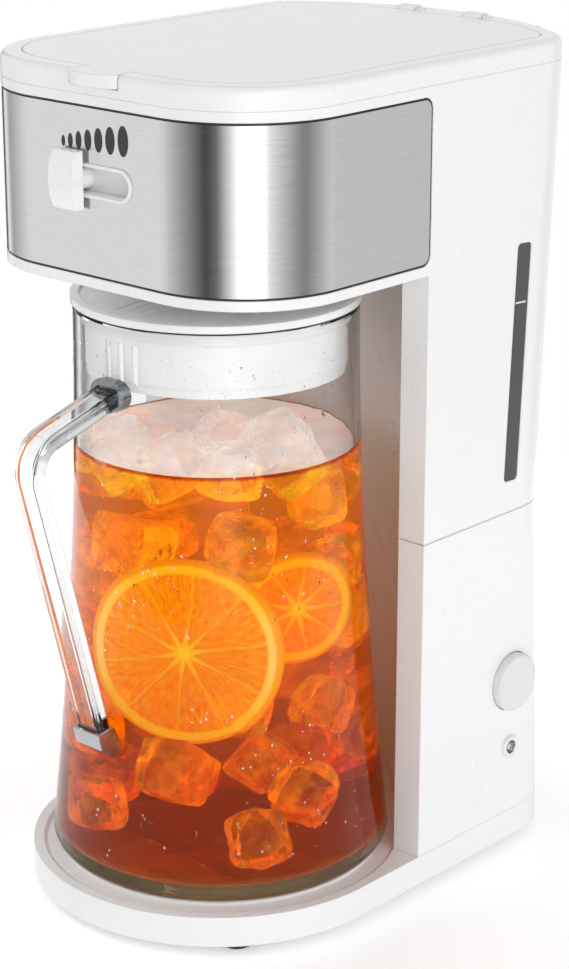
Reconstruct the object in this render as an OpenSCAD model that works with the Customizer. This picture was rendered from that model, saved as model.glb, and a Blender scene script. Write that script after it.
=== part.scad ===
// Iced tea maker: a water tank and brewing head on a column, over a glass pitcher on a round base.
// Millimetres. X is to the right, -Y is the front, +Z is up, and Z = 0 is the table.
// The pieces are drawn about the pitcher's axis, and placed() moves them to the middle of the footprint.

/* [Pitcher] */
// Height of the glass from the base to the rim
pitcher_h = 249; // [235:1:262]
// Outside radius of the glass at the rim
rim_r = 61.2; // [58:0.2:64]
// Outside radius that the flare reaches at the foot
foot_r = 76.6; // [73:0.2:80]
// Power of the flare: a higher one keeps the side upright for longer
flare_power = 1.9; // [1.4:0.1:2.6]
// Thickness of the glass side
glass_t = 3; // [2.4:0.1:3.6]
// Thickness of the glass floor
glass_floor = 6; // [4:0.5:9]
// Radius of the rounded foot edge
foot_round = 7; // [5:0.5:9]
// Thickness of the pitcher lid
plid_t = 3.2; // [2.6:0.1:4.2]
// Width of the raised edge of the pitcher lid
plid_edge = 3.6; // [2.6:0.1:5]
// Depth of the dish in the pitcher lid
plid_dish = 1.2; // [0.8:0.1:1.6]
// Height of the lid gasket
plid_gasket = 0.8; // [0.6:0.1:1.4]
// Depth of the strainer skirt below the rim
skirt_depth = 28; // [22:1:34]
// Wall of the strainer skirt
skirt_t = 1.8; // [1.4:0.1:2.4]
// Length of the strainer slots
strain_h = 17; // [12:0.5:19]
// Width of the strainer slots
strain_w = 3.4; // [2.4:0.1:4.2]

/* [Handle] */
// Outermost reach of the handle from the pitcher axis
handle_reach = 113; // [106:1:120]
// Width of the handle bar
bar_w = 13.5; // [11:0.5:16]
// Thickness of the handle bar
bar_t = 7.5; // [6:0.5:9]
// Radius of the bar's long edges
bar_edge = 1.8; // [1:0.1:2.6]
// Radius of the bend on the bar's centre line
bend_r = 14; // [11:0.5:18]
// Height of the bend's centre below the rim
bend_drop = 52.5; // [48:0.5:58]
// Slope of the upper arm in degrees
arm_drop = 16.5; // [10:0.5:22]
// Lean of the long bar in degrees
bar_lean = 15; // [13:0.5:17]
// Length of the long bar
bar_len = 125; // [115:1:130]
// Width of the upper escutcheon
esc_w = 19.5; // [17.5:0.5:22]
// Height of the upper escutcheon
esc_h = 13; // [12:0.5:16]
// How far the escutcheon stands out from the glass
esc_out = 3.6; // [2.6:0.2:5]

/* [Base] */
// Height of the rubber feet
foot_h = 4; // [3:0.5:6]
// Radius of the rubber feet
foot_pad_r = 7; // [5:0.5:9]
// Height of the base plate
base_h = 14; // [12:0.5:18]
// Margin of the base outside the pitcher bay
base_margin = 4.6; // [3:0.2:8]
// Wall of the base plate
base_wall = 3; // [2.4:0.1:3.6]
// Thickness of the bottom cover
cover_t = 2.4; // [2.2:0.1:3]
// Depth of the ring groove round the pitcher's foot
groove_d = 1.2; // [0.6:0.1:1.6]

/* [Column] */
// Gap between the pitcher's foot and the bay in the column
bay_gap = 3.8; // [3:0.2:5]
// Front face of the column, behind the pitcher axis
column_y = 38; // [34:1:42]
// Rear of the head, behind the pitcher axis
rear_y = 160; // [154:1:168]
// Radius of the rear corners
rear_corner_r = 25; // [20:1:30]
// Radius of the bowed rear face
bow_r = 134; // [124:2:170]
// Height of the lower housing
lower_h = 148; // [140:1:156]
// How far the rear is drawn in at the seam
rear_in = 10; // [6:0.5:13]
// How far the rear is drawn in at the base
rear_in_low = 1; // [0:0.5:3]
// Wall of the white mouldings
wall = 2.6; // [2.2:0.1:3.2]
// Height of the tank floor above the seam
tank_floor = 9; // [8:0.5:12]

/* [Head] */
// Gap between the pitcher lid and the head
head_gap = 12.7; // [10:0.5:18]
// Height of the head up to the lid frame
head_h = 78.5; // [74:0.5:84]
// Front of the head, before the pitcher axis
head_front = 69; // [67:1:74]
// Radius of the front corners
front_corner_r = 49; // [42:1:54]
// Border of white below and above the band's recess
band_border = 4.3; // [3:0.1:6]
// Depth of the band's recess
band_recess = 0.9; // [0.8:0.1:1.2]
// Thickness of the steel band
band_t = 0.75; // [0.6:0.05:0.8]
// Width of the dark gasket line round the band
gasket_w = 1; // [0.6:0.1:1.6]
// Radius of the band's end corners
band_corner_r = 4; // [2:0.5:8]

/* [Strength selector] */
// Height of the slot's centre above the underside of the head
slot_up = 44; // [40:0.5:46]
// Length of the slot
slot_len = 39; // [34:1:44]
// Height of the slot
slot_h = 11; // [9:0.5:12]
// Width of the slot's rim
slot_rim = 1.5; // [1.2:0.1:2]
// Depth of the slot's tray
slot_depth = 5; // [4:0.5:6]
// Width of the knob
knob_w = 13.5; // [12:0.5:15]
// Height of the knob
knob_h = 24; // [20:0.5:26]
// Thickness of the knob at its middle
knob_t = 7; // [5.5:0.5:9]
// Clearance between the knob's stem and the slot
stem_gap = 1; // [0.6:0.1:1.5]
// Number of strength marks
mark_n = 7; // [4:1:8]
// Height of the smallest mark
mark_h = 4.6; // [3.5:0.1:5]
// Growth of each mark over the one before it
mark_step = 1.32; // [0.8:0.02:1.4]
// Gap between neighbouring marks
mark_gap = 1.6; // [1:0.1:2]

/* [Lid] */
// Height of the lid frame
frame_h = 9.5; // [8.5:0.5:12]
// Width of the lid frame seen from above
frame_w = 9; // [7:0.5:11]
// Radius of the frame's top edge
frame_round = 3; // [2:0.5:4]
// Thickness of the lid panel
lid_t = 3.5; // [3:0.1:4.2]
// Gap between the lid panel and its frame
lid_gap = 0.4; // [0.3:0.1:0.8]
// How far the finger tab stands out at the front
tab_out = 4.5; // [3:0.5:6]
// Width of the finger tab at the front face
tab_w = 27; // [22:1:32]
// Height of the finger tab
tab_h = 5.6; // [4.5:0.1:6.2]
// Distance of each hinge barrel from the middle
hinge_x = 19; // [15:1:26]
// Width of the hinge barrels
barrel_w = 9; // [7:0.5:12]
// Radius of the hinge barrels
barrel_r = 4; // [3.5:0.25:4.5]
// Radius of the hinge pins
pin_r = 1.25; // [1:0.05:1.5]

/* [Controls and window] */
// Radius of the brew button
button_r = 13.5; // [11:0.5:15]
// How far the button stands out of the side
button_out = 4.1; // [3:0.1:6]
// Travel of the button
button_travel = 2; // [1:0.5:3]
// Height of the button above the base plate
button_up = 65; // [58:1:72]
// Distance of the button and the lamp behind the pitcher axis
controls_y = 103; // [98:1:105]
// Height of the lamp above the base plate
lamp_up = 32.3; // [26:0.5:36]
// Radius of the lamp's bezel
lamp_r = 5.2; // [4.6:0.1:6.5]
// Width of the level window
window_w = 9.5; // [7:0.5:12]
// Height of the level window
window_h = 106.5; // [90:0.5:110]
// Drop of the window's top below the lid frame
window_drop = 70.5; // [64:0.5:80]
// Distance of the window behind the pitcher axis, at the lid frame's height
window_y = 107; // [100:1:110]
// Height of the full mark above the foot of the window
mark_up = 80; // [60:1:84]

/* [Hidden] */
$fn = 96;

// Clearances: a seated skin, a running fit, a loose curved fit, a hairline step where two smooth
// shapes of one piece meet, and an overshoot for cuts
skin_gap = 0.05;
run_gap = 0.05;
loose = 0.3;
step = 0.02;
eps = 1;

// Levels
deck_z = foot_h + base_h;
seam_z = deck_z + lower_h;
rim_z = deck_z + pitcher_h;
plid_z = rim_z + loose + plid_gasket;
head_z = plid_z + plid_t + head_gap;
seat_z = head_z + head_h;
top_z = seat_z + frame_h;
tank_z = seam_z + tank_floor;
floor_t = 3;

// Plan of the body
bay_r = foot_r + bay_gap;
half_w = bay_r + base_margin;
corner_y = head_front - front_corner_r;
bow_y = rear_y - bow_r;
rear_x = half_w - rear_corner_r;
rear_corner_y = bow_y + sqrt(pow(bow_r - rear_corner_r, 2) - pow(rear_x, 2));

// Lean of the column's rear, above and below the seam
up_rear = atan(rear_in / (seat_z - seam_z));
low_rear = atan((rear_in - rear_in_low) / lower_h);

// Middle of the footprint, from the pitcher axis
middle_x = button_out / 2;
middle_y = (rear_y / cos(up_rear) - handle_reach) / 2;

// Selector stack behind the head's front face
slot_z = head_z + slot_up;
shoe_t = 1.6;
shoe_h = slot_h + 5;
gate_t = 3;
gate_gap = 1.6;
stem_w = knob_w - 0.5;
knob_travel = slot_len - stem_w - 2 * stem_gap;
tray_y = head_front - slot_depth;
shoe_y = tray_y - loose;
gate_y = shoe_y - shoe_t;
rail_y = gate_y - loose;
basket_r = gate_y - gate_t - gate_gap;

// Head compartment and basket
partition_y = basket_r + 4.5;
basket_z = head_z + wall;
basket_top = seat_z - 16.5;
basket_floor = basket_z + 5.4;
screen_z = basket_floor + 4;
nozzle_r = 8;

// Water path on the middle plane of the column
riser_y = bay_r + wall + 14;
inlet_y = riser_y + 30;
leg_gap = inlet_y - riser_y;
tube_r = 5.25;
hose_r = 5.5;
nipple_r = 4;
heater_z = deck_z + 22;
heater_end = -20;
heater_len = 40;
heater_r = 6;
heater_web = 4;
nipple_len = 8;
elbow_r = -heater_end - nipple_len;
duct_w = 18;
duct_z = seat_z - 5;

// Hinge of the lid
hinge_z = top_z - 2;
hinge_y = rear_y - 10;
lid_z = top_z - lid_t;
lid_rear = hinge_y - 6;

/* Places the pitcher's axis so that the middle of the footprint is on the origin */
module placed() {
  translate([-middle_x, -middle_y, 0]) children();
}

// The rear bow and the rear corners meet on the two lines of this plan
module bow_sector() {
  translate([0, bow_y]) polygon([
    [0, 0],
    1.8 * [rear_x, rear_corner_y - bow_y],
    1.8 * [-rear_x, rear_corner_y - bow_y]
  ]);
}

// Rear end of the plan, from y0 to the bowed face, drawn in by d
module rear_plan(d, y0) {
  translate([-(half_w - d), y0]) square([2 * (half_w - d), rear_corner_y - y0]);
  for (s = [-1, 1]) translate([s * rear_x, rear_corner_y]) circle(rear_corner_r - d);
  intersection() {
    translate([0, bow_y]) circle(bow_r - d, $fn = 240);
    bow_sector();
  }
}

// Plan of the head, drawn in by d
module head_plan(d) {
  rear_plan(d, -corner_y);
  for (s = [-1, 1]) translate([s * (half_w - front_corner_r), -corner_y]) circle(front_corner_r - d);
  translate([-(half_w - front_corner_r), -(head_front - d)])
    square([2 * (half_w - front_corner_r), head_front - d]);
}

// Plan of the base, drawn in by d
module base_plan(d) {
  circle(half_w - d, $fn = 180);
  translate([0, -rear_in_low]) rear_plan(d, rear_in_low);
}

// A slice of the column from z0 to z1, behind y0, whose rear leans from a pivot plane
module leaning(d, pivot_z, shift, rear, y0, z0, z1) {
  intersection() {
    translate([0, -shift, pivot_z]) rotate([rear, 0, 0])
      translate([0, 0, -250]) linear_extrude(500) rear_plan(d, 0);
    translate([-half_w * 2, y0, z0]) cube([half_w * 4, rear_y * 2, z1 - z0]);
  }
}

module lower_slice(d, y0, z0, z1) {
  leaning(d, deck_z, rear_in_low, low_rear, y0, z0, z1);
}

module upper_slice(d, y0, z0, z1) {
  leaning(d, seat_z, 0, -up_rear, y0, z0, z1);
}

// Front part of the head as far back as y1
module head_slice(d, y1, z0, z1) {
  intersection() {
    translate([0, 0, z0]) linear_extrude(z1 - z0) head_plan(d);
    translate([-half_w * 2, -head_front * 2, z0]) cube([half_w * 4, head_front * 2 + y1, z1 - z0]);
  }
}

// Hollow for the pitcher, grown by d, from under the deck up to the level top
module bay(d, top = head_z) {
  translate([0, 0, deck_z - eps]) cylinder(r = bay_r + d, h = top - deck_z + eps, $fn = 180);
}

// Turned part along +X from x0 to x1
module rod_x(r, x0, x1) {
  translate([x0, 0, 0]) rotate([0, 90, 0]) cylinder(r = r, h = x1 - x0);
}

// Turned part along +Y from y0 to y1
module rod_y(r, y0, y1) {
  translate([0, y0, 0]) rotate([-90, 0, 0]) cylinder(r = r, h = y1 - y0);
}

module rod_z(r, z0, z1) {
  translate([0, 0, z0]) cylinder(r = r, h = z1 - z0);
}

module ring_z(r1, r0, z0, z1) {
  difference() {
    rod_z(r1, z0, z1);
    rod_z(r0, z0 - eps, z1 + eps);
  }
}

// Round-ended slot shape, len long and h high
module stadium(len, h) {
  square([len - h, h], center = true);
  for (s = [-1, 1]) translate([s * (len - h) / 2, 0]) circle(h / 2);
}

// Front-face shape in X and Z, from y = -y1 back to y = -y0
module from_front(y0, y1) {
  translate([0, -y0, 0]) rotate([90, 0, 0]) linear_extrude(y1 - y0) children();
}

// Base

cover_bosses = [
  [half_w - 26, 0], [-(half_w - 26), 0], [0, -(half_w - 22)],
  [38, rear_corner_y - 26], [-38, rear_corner_y - 26], [0, rear_y - 20]
];
boss_x = half_w - 12;
housing_bosses = [
  [boss_x, column_y + 11], [-boss_x, column_y + 11],
  [rear_x + 8, rear_corner_y - 2], [-rear_x - 8, rear_corner_y - 2]
];
foot_front = [half_w - 30, -0.565 * half_w];
foot_rear = [rear_x + 2, rear_corner_y - 10];
screw_r = 1.5;
screw_head_r = 3.4;
screw_head_h = 1.5;

module base_plate() {
  color("white") placed() difference() {
    union() {
      difference() {
        translate([0, 0, foot_h]) linear_extrude(base_h) base_plan(0);
        translate([0, 0, foot_h - eps]) linear_extrude(base_h - base_wall + eps) base_plan(base_wall);
      }
      for (p = cover_bosses) translate(p) rod_z(4, foot_h + cover_t, deck_z - base_wall + eps);
    }
    rotate_extrude($fn = 180) polygon([
      [foot_r - foot_round + 2, deck_z + eps], [foot_r - foot_round + 2, deck_z - groove_d],
      [bay_r - 1.5, deck_z - groove_d], [bay_r, deck_z], [bay_r, deck_z + eps]
    ]);
    for (p = cover_bosses) translate(p) rod_z(screw_r, foot_h, deck_z - base_wall - 1);
    for (p = housing_bosses) translate(p) rod_z(screw_r + 0.3, foot_h, deck_z + eps);
  }
}

module foot_places() {
  for (s = [-1, 1], p = [foot_front, foot_rear]) translate([s * p[0], p[1], 0]) children();
}

module bottom_cover() {
  tab = [10, 13, foot_h - 0.4];
  color("whitesmoke") placed() difference() {
    union() {
      translate([0, 0, foot_h]) linear_extrude(cover_t) base_plan(base_wall + loose);
      for (s = [-1, 1])
        translate([s * (half_w - base_wall - 6.4) - tab[0] / 2, column_y - tab[1] / 2, foot_h - tab[2]])
          cube([tab[0], tab[1], tab[2] + eps]);
    }
    foot_places() rod_z(3, foot_h - eps, foot_h + cover_t + eps);
    for (p = cover_bosses) translate(p) {
      rod_z(screw_r + 0.3, foot_h - eps, foot_h + cover_t + eps);
      rod_z(screw_head_r + 0.2, foot_h - eps, foot_h + screw_head_h);
    }
  }
}

module rubber_feet() {
  color("#1c1c1e") placed() foot_places() {
    rod_z(foot_pad_r, 0, foot_h);
    rod_z(3 - skin_gap, 0, foot_h + cover_t);
    rod_z(4.2, foot_h + cover_t, foot_h + cover_t + 1.5);
  }
}

module cover_screws() {
  color("silver") placed() for (p = cover_bosses) translate(p) difference() {
    union() {
      rod_z(screw_head_r, foot_h + 0.1, foot_h + screw_head_h);
      rod_z(screw_r - skin_gap, foot_h, deck_z - base_wall - 2);
    }
    translate([-screw_head_r, -0.4, foot_h - eps]) cube([2 * screw_head_r, 0.8, eps + 0.7]);
  }
}

// Lower housing

boss_top = deck_z + 14;
boss_roof = 4;
screw_spare = 2;
lip_t = 1.6;

// Section of the lower housing drawn in by d on every side, from z0 to z1
module lower_section(d, z0, z1) {
  difference() {
    lower_slice(d, column_y + d, z0, z1);
    bay(d);
  }
}

module housing_ribs() {
  intersection() {
    for (p = housing_bosses)
      translate([p[0] > 0 ? p[0] : p[0] - 20, p[1] - 1.25, deck_z]) cube([20, 2.5, boss_top - deck_z]);
    lower_section(wall / 2, deck_z, seam_z);
  }
}

module lower_housing() {
  color("white") placed() difference() {
    union() {
      difference() {
        lower_section(0, deck_z, seam_z);
        lower_section(wall, deck_z - eps, seam_z + eps);
      }
      for (p = housing_bosses) translate(p) rod_z(4.5, deck_z, boss_top);
      housing_ribs();
      difference() {
        union() {
          lower_section(wall + loose, seam_z - 6, seam_z + 4);
          lower_section(wall / 2, seam_z - 6, seam_z - 2);
        }
        lower_section(wall + loose + lip_t, seam_z - 7, seam_z + 5);
      }
    }
    for (p = housing_bosses) translate(p) rod_z(screw_r, deck_z - eps, boss_top - boss_roof);
    translate([0, controls_y, deck_z + button_up]) rod_x(button_r + loose, half_w - 12, half_w + eps);
    translate([0, controls_y, deck_z + lamp_up]) rod_x(lamp_r - 1, half_w - 12, half_w + eps);
    translate([0, 0, gland_z]) {
      rod_y(gland_r + loose, gland_y, rear_y + eps);
      rod_y(gland_r - 2.4, gland_y - 12, rear_y);
    }
    seam_groove(seam_z - 0.5);
  }
}

// Shadow line round the seam between the two housings
module seam_groove(z0) {
  difference() {
    translate([-half_w - eps, column_y - eps, z0]) cube([2 * half_w + 2 * eps, rear_y, 0.5 + eps]);
    lower_slice(0.7, column_y + 0.7, z0 - eps, z0 + 3);
    bay(0.7);
  }
}

module housing_screws() {
  color("silver") placed() for (p = housing_bosses) translate(p) {
    rod_z(screw_head_r, deck_z - base_wall - 2.2, deck_z - base_wall);
    rod_z(screw_r - skin_gap, deck_z - base_wall - eps, boss_top - boss_roof - screw_spare);
  }
}

// Heater: a U of tube from the inlet to the riser, cast to a plate, standing on a bracket

heater_bend_x = heater_end - heater_len;

module heater_body() {
  color("#b8babd") placed() translate([0, riser_y, heater_z]) {
    for (y = [0, leg_gap]) translate([0, y, 0]) {
      rod_x(heater_r, heater_bend_x, heater_end);
      rod_x(nipple_r, heater_end - eps, heater_end + nipple_len);
    }
    translate([heater_bend_x, leg_gap / 2, 0]) rotate([0, 0, 90]) rotate_extrude(angle = 180)
      translate([leg_gap / 2, 0]) circle(heater_r);
    translate([heater_bend_x, 0, -heater_web / 2]) cube([heater_len, leg_gap, heater_web]);
  }
}

module heater_bracket() {
  h = heater_z - heater_web / 2 - deck_z;
  color("#9a9da1") placed() translate([heater_bend_x + 5, riser_y + 8, deck_z]) difference() {
    cube([28, leg_gap - 16, h]);
    translate([1.5, -eps, 1.5]) cube([25, leg_gap, h - 3]);
  }
}

module thermostat() {
  color("#c9c2a8") placed() translate([heater_bend_x + 12, riser_y + leg_gap / 2, 0]) {
    rod_z(8, heater_z + 2, heater_z + 6);
    rod_z(5.5, heater_z + 6 - eps, heater_z + 10);
    for (s = [-1, 1]) translate([s * 4 - 0.5, -2, heater_z + 9]) cube([1, 4, 5]);
  }
}

module thermal_fuse() {
  color("#d8d4c0") placed() translate([0, riser_y + leg_gap / 2, heater_z + 4.5])
    rod_x(2.5, heater_bend_x + 22, heater_bend_x + 36);
}

// Elbow that turns from the heater's +X nipple to a vertical tube on x = 0
module elbow(y, r, bore) {
  translate([-elbow_r, y, heater_z + elbow_r]) rotate([90, 0, 0]) rotate([0, 0, -90])
    rotate_extrude(angle = 90) translate([elbow_r, 0]) difference() {
      circle(r);
      circle(bore);
    }
}

valve_z = tank_z - floor_t - 14;

module inlet_hose() {
  color("#d9d4cc") placed() {
    difference() {
      translate([0, inlet_y, heater_z]) rod_x(hose_r, heater_end, -elbow_r);
      translate([0, inlet_y, heater_z]) rod_x(nipple_r + skin_gap, heater_end - eps, -elbow_r + eps);
    }
    elbow(inlet_y, hose_r, nipple_r + skin_gap);
    translate([0, inlet_y, 0])
      ring_z(hose_r, nipple_r + skin_gap, heater_z + elbow_r, valve_z);
  }
}

riser_top = duct_z - 1.5;

module riser_tube() {
  color("#e6e6e2") placed() {
    difference() {
      translate([0, riser_y, heater_z]) rod_x(tube_r, heater_end, -elbow_r);
      translate([0, riser_y, heater_z]) rod_x(nipple_r + skin_gap, heater_end - eps, -elbow_r + eps);
    }
    elbow(riser_y, tube_r, nipple_r + skin_gap);
    translate([0, riser_y, 0])
      ring_z(tube_r, nipple_r + skin_gap, heater_z + elbow_r, riser_top);
  }
}

// Brew button and its switch, on the right side

sleeve_x = half_w - wall - 9.8;
cap_x = half_w - 4;

module at_button() {
  placed() translate([0, controls_y, deck_z + button_up]) children();
}

module brew_button() {
  color("#dcdcda") at_button() {
    translate([cap_x, 0, 0]) rotate([0, 90, 0]) rotate_extrude() polygon(concat(
      [[0, 0], [button_r, 0]],
      [for (a = [0 : 15 : 90])
        [button_r - 1.2 + 1.2 * cos(a), half_w + button_out - cap_x - 1.2 + 1.2 * sin(a)]],
      [[0, half_w + button_out - cap_x]]
    ));
    rod_x(3.5, sleeve_x - 6, cap_x + eps);
  }
}

module button_sleeve() {
  color("#c4c6c8") intersection() {
    at_button() difference() {
      rod_x(button_r + 2.5, sleeve_x, half_w - wall + eps);
      rod_x(button_r + loose, sleeve_x + 2, half_w);
      rod_x(3.5 + run_gap, sleeve_x - eps, sleeve_x + 3);
    }
    placed() lower_slice(wall + skin_gap, column_y, deck_z, seam_z);
  }
}

module brew_switch() {
  color("#2b2d31") at_button() difference() {
    translate([sleeve_x - 14, -8, -6.5]) cube([14, 16, 13]);
    rod_x(3.5 + loose, sleeve_x - 6 - button_travel - loose, sleeve_x + eps);
  }
}

// Lamp below the button

module at_lamp() {
  placed() translate([0, controls_y, deck_z + lamp_up]) children();
}

module indicator_bezel() {
  color("silver") at_lamp() difference() {
    union() {
      rod_x(lamp_r, half_w + skin_gap, half_w + 1.1);
      rod_x(lamp_r - 1.1, half_w - 6, half_w + 0.5);
    }
    rod_x(lamp_r - 2, half_w - 6 - eps, half_w + 1.1 + eps);
  }
}

module indicator_lens() {
  r = lamp_r - 2 - skin_gap;
  color("#e8f0f4") at_lamp() translate([half_w - 5, 0, 0]) rotate([0, 90, 0]) rotate_extrude() polygon(concat(
    [[0, 0], [r, 0]],
    [for (a = [0 : 15 : 90]) [r * cos(a), 5.4 + 1.1 * sin(a)]]
  ));
}

module indicator_board() {
  color("#2f6b46") at_lamp() {
    translate([half_w - 8, -7, -6]) cube([2, 14, 12]);
  }
}

// Cord gland at the rear: the cord itself is not part of this model

gland_r = 8.4;
gland_z = deck_z + 27;
gland_y = rear_y - rear_in_low - (rear_in - rear_in_low) * 27 / lower_h - 1.6;

module cord_gland() {
  color("#232326") placed() translate([0, 0, gland_z]) difference() {
    union() {
      rod_y(gland_r, gland_y, gland_y + 3.6);
      rod_y(gland_r - 2.5, gland_y - 7, gland_y + eps);
      rod_y(gland_r - 0.6, gland_y - 7, gland_y - 3);
    }
    rod_y(3.5, gland_y - 8, gland_y + 4);
  }
}

// Upper housing: tank behind, head compartment in front

band_low = head_z + band_border + gasket_w;
band_high = seat_z - band_border - gasket_w;
tank_front = partition_y + wall;

// Space of the band, seen from the side and grown by g, from the front to its rounded ends
module band_space(g) {
  z0 = band_low - g;
  z1 = band_high + g;
  r = band_corner_r + g;
  y1 = column_y + g;
  rotate([90, 0, 90]) translate([0, 0, -2 * half_w]) linear_extrude(4 * half_w) {
    translate([-2 * head_front, z0]) square([2 * head_front + y1 - r, z1 - z0]);
    translate([0, z0 + r]) square([y1, z1 - z0 - 2 * r]);
    for (z = [z0 + r, z1 - r]) translate([y1 - r, z]) circle(r);
  }
}

module slot_shape(grow) {
  translate([0, slot_z]) stadium(slot_len + 2 * grow, slot_h + 2 * grow);
}

// Frame of the level window, which leans with the rear of the column
module on_side() {
  placed() translate([0, 0, seat_z]) rotate([-up_rear, 0, 0]) translate([0, window_y, 0]) children();
}

window_low = -window_drop - window_h;

module window_shape(grow, x0, x1) {
  r = 2 + grow;
  translate([x0, 0, 0]) rotate([90, 0, 90]) linear_extrude(x1 - x0) {
    translate([-window_w / 2 - grow, window_low - grow + r])
      square([window_w + 2 * grow, window_h + 2 * grow - 2 * r]);
    translate([-window_w / 2 - grow + r, window_low - grow])
      square([window_w + 2 * grow - 2 * r, window_h + 2 * grow]);
    for (y = [-1, 1], z = [window_low - grow + r, window_low + window_h + grow - r])
      translate([y * (window_w / 2 + grow - r), z]) circle(r);
  }
}

module upper_shell() {
  difference() {
    union() {
      head_slice(0, column_y + 12, head_z, seat_z);
      upper_slice(0, column_y, seam_z, seat_z);
    }
    bay(0);
    head_slice(wall, partition_y, head_z + wall, seat_z + eps);
    difference() {
      union() {
        upper_slice(wall, tank_front, head_z + wall - eps, seat_z + eps);
        upper_slice(wall, column_y + wall, tank_z, head_z);
        upper_slice(wall, tank_front, head_z - eps, head_z + wall);
        upper_slice(wall, column_y + wall, seam_z - eps, tank_z - floor_t);
      }
      bay(wall, head_z + wall);
    }
    translate([wall - half_w, partition_y - eps, seat_z - 10]) cube([2 * (half_w - wall), wall + 2 * eps, 20]);
  }
}

module upper_housing() {
  color("white") difference() {
    placed() difference() {
      upper_shell();
      intersection() {
        difference() {
          translate([-2 * half_w, -2 * head_front, head_z]) cube([4 * half_w, 3 * head_front, head_h]);
          translate([0, 0, head_z - eps]) linear_extrude(head_h + 2 * eps) head_plan(band_recess);
        }
        band_space(gasket_w);
      }
      from_front(head_front - 6, head_front + eps) slot_shape(1);
      rod_z(nozzle_r + 3, head_z - eps, head_z + wall + eps);
      translate([0, inlet_y, 0]) rod_z(6.1, tank_z - floor_t - eps, tank_z + eps);
      translate([0, riser_y, 0]) rod_z(7.5, tank_z - floor_t - eps, tank_z + eps);
    }
    on_side() window_shape(0.1, half_w - wall - eps, half_w + eps);
  }
}

module tank_valve() {
  color("#d4d7da") placed() translate([0, inlet_y, 0]) difference() {
    union() {
      rod_z(9, tank_z, tank_z + 2);
      rod_z(6, tank_z - floor_t - 8, tank_z + eps);
      rod_z(8.5, tank_z - floor_t - 4, tank_z - floor_t);
      rod_z(nipple_r, valve_z - 8, tank_z - floor_t - 8 + eps);
    }
    rod_z(2.6, valve_z - 9, tank_z + 3);
  }
}

module tank_strainer() {
  color("#8f9499") placed() translate([0, inlet_y, tank_z + 2]) difference() {
    rod_z(8, 0, 11);
    rod_z(6.8, -eps, 9.8);
    for (i = [0 : 7]) rotate([0, 0, i * 45]) translate([5, -1, 2]) cube([5, 2, 6.5]);
    rod_z(1.5, 8, 12);
  }
}

module riser_grommet() {
  color("#3a3a3c") placed() translate([0, riser_y, 0]) difference() {
    union() {
      rod_z(7.4, tank_z - floor_t - eps, tank_z + eps);
      rod_z(9.5, tank_z, tank_z + 1.5);
      rod_z(9.5, tank_z - floor_t - 1.5, tank_z - floor_t);
    }
    rod_z(tube_r + skin_gap, tank_z - floor_t - 3, tank_z + 3);
  }
}

module level_window() {
  color("#3b3d40") on_side() difference() {
    union() {
      window_shape(0, half_w - wall - eps, half_w - 0.4);
      window_shape(2.5, half_w - wall - 1.3, half_w - wall - skin_gap);
    }
    translate([half_w - 0.7, -window_w / 2 + 1.2, window_low + mark_up])
      cube([1, window_w - 2.4, 0.8]);
  }
}

module level_mark() {
  color("white") on_side() translate([half_w - 0.7, -window_w / 2 + 1.2, window_low + mark_up])
    cube([0.35, window_w - 2.4, 0.8]);
}

// Steel band and what is on the head's front

band_y = head_front - band_recess + skin_gap + band_t;

module band_blank() {
  intersection() {
    difference() {
      translate([0, 0, band_low]) linear_extrude(band_high - band_low)
        head_plan(band_recess - skin_gap - band_t);
      translate([0, 0, band_low - eps]) linear_extrude(band_high - band_low + 2 * eps)
        head_plan(band_recess - skin_gap);
    }
    band_space(0);
  }
}

module steel_band() {
  color("#b9bcc0") placed() difference() {
    band_blank();
    from_front(head_front - 6, head_front + eps) slot_shape(1);
    marks(0.3, eps);
  }
}

module band_gasket() {
  color("#18181a") placed() intersection() {
    difference() {
      translate([0, 0, head_z]) linear_extrude(head_h) head_plan(band_recess - 0.5);
      translate([0, 0, head_z - eps]) linear_extrude(head_h + 2 * eps) head_plan(band_recess - skin_gap);
    }
    difference() {
      band_space(gasket_w - skin_gap);
      band_space(skin_gap);
    }
  }
}

// Marks grow from left to right on one line above the slot
function mark_height(i) = mark_h + mark_step * i;
function mark_width(i) = 0.48 * mark_height(i);
function mark_left(i) = i == 0 ? 0 : mark_left(i - 1) + mark_width(i - 1) + mark_gap;
marks_w = mark_left(mark_n - 1) + mark_width(mark_n - 1);
marks_z = slot_z + slot_h / 2 + 6.5;

module mark_shape(i) {
  polygon([for (a = [0 : 15 : 345])
    [mark_width(i) / 2 * cos(a), mark_height(i) / 2 * (1 + sin(a))]]);
}

module marks(depth, proud) {
  for (i = [0 : mark_n - 1])
    from_front(band_y - depth, band_y + proud)
      translate([mark_left(i) + mark_width(i) / 2 - marks_w / 2, marks_z]) mark_shape(i);
}

module strength_marks() {
  color("#232325") placed() marks(0.3, 0.03);
}

module selector_bezel() {
  color("white") placed() difference() {
    union() {
      from_front(band_y + 0.02, band_y + 0.8) slot_shape(slot_rim);
      from_front(tray_y, band_y + 0.4) slot_shape(0.95);
    }
    from_front(tray_y - eps, band_y + 2) slot_shape(0);
  }
}

knob_y = band_y + 0.8 + 0.8;
knob_x = -knob_travel / 2;

module strength_knob() {
  bow = 25;
  color("white") placed() translate([knob_x, 0, slot_z]) {
    intersection() {
      from_front(knob_y, knob_y + knob_t) square([knob_w, knob_h], center = true);
      translate([0, -(knob_y + knob_t - bow), 0]) rod_x(bow, -knob_w, knob_w);
    }
    from_front(shoe_y, knob_y + 2) stadium(stem_w, slot_h - 2 * stem_gap);
  }
}

module selector_shoe() {
  color("#e4e4e2") placed() translate([knob_x, 0, slot_z])
    from_front(shoe_y - shoe_t, shoe_y) square([slot_len + knob_travel + 3, shoe_h], center = true);
}

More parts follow.
